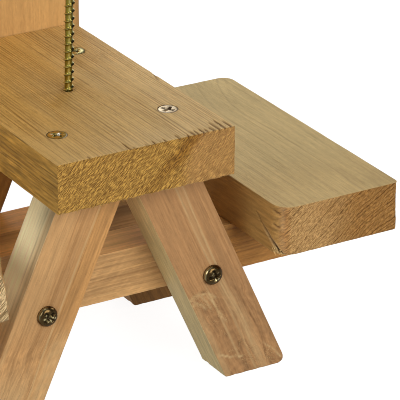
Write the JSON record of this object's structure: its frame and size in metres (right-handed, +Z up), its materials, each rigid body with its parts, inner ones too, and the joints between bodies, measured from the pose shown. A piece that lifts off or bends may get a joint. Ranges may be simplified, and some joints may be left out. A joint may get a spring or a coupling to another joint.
{
  "type": "squirrel picnic table feeder",
  "caption": "Miniature cedar picnic table with splayed legs, benches on crossbars, a backboard to fasten it up, and an upright screw that holds a corn cob for squirrels.",
  "frame": {"origin": "on the floor, under the middle of the object's bounding box", "axes": "+Z up; -Y to the front, the end without the backboard; +X to the right seen from the front"},
  "size_m": [0.2588, 0.1746, 0.2626],
  "materials": {
    "cedar_rough_sawn": "rough-sawn bare cedar",
    "cedar_backboard": "planed bare cedar",
    "cedar_legs": "planed bare cedar",
    "cedar_crossbars": "sawn bare cedar",
    "cedar_benches": "planed bare cedar",
    "yellow_zinc_steel": "yellow zinc plating",
    "bronze_coated_steel": "dark bronze coating"
  },
  "bodies": {
    "root": {"tabletop": "cedar_rough_sawn", "backboard": "cedar_backboard", "front_left_leg": "cedar_legs", "front_right_leg": "cedar_legs", "rear_left_leg": "cedar_legs", "rear_right_leg": "cedar_legs", "front_crossbar": "cedar_crossbars", "rear_crossbar": "cedar_crossbars", "left_bench": "cedar_benches", "right_bench": "cedar_benches", "cob_screw": "yellow_zinc_steel", "front_tabletop_screws": "yellow_zinc_steel", "rear_tabletop_screws": "yellow_zinc_steel", "backboard_screws": "yellow_zinc_steel", "front_leg_screws": "bronze_coated_steel", "rear_leg_screws": "bronze_coated_steel", "left_bench_screws": "bronze_coated_steel", "right_bench_screws": "bronze_coated_steel"}
  },
  "joints": []
}
